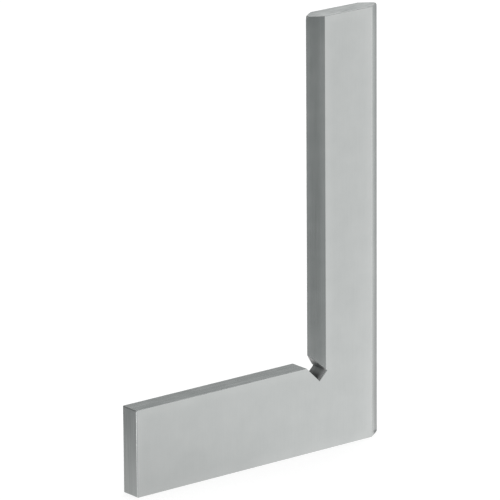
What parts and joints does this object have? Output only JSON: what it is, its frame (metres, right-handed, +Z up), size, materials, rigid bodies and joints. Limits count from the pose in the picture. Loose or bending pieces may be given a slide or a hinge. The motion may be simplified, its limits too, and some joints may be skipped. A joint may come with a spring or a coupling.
{
  "type": "knife-edge square",
  "caption": "Flat L-shaped steel square for checking right angles, with a plain rectangular stock, a blade bevelled to knife edges and a relief slot in the inner corner.",
  "frame": {"origin": "under the middle of the part's box, on the foot of the stock", "axes": "+X along the stock, from its free end to the outer knife edge; +Y through the thickness, from the front face to the back face; +Z up the blade"},
  "size_m": [0.07, 0.005, 0.1],
  "materials": {
    "ground_steel": "fine satin grinding on the large faces, lapped knife edges and measuring faces"
  },
  "bodies": {
    "root": {"square_body": "ground_steel"}
  },
  "joints": []
}
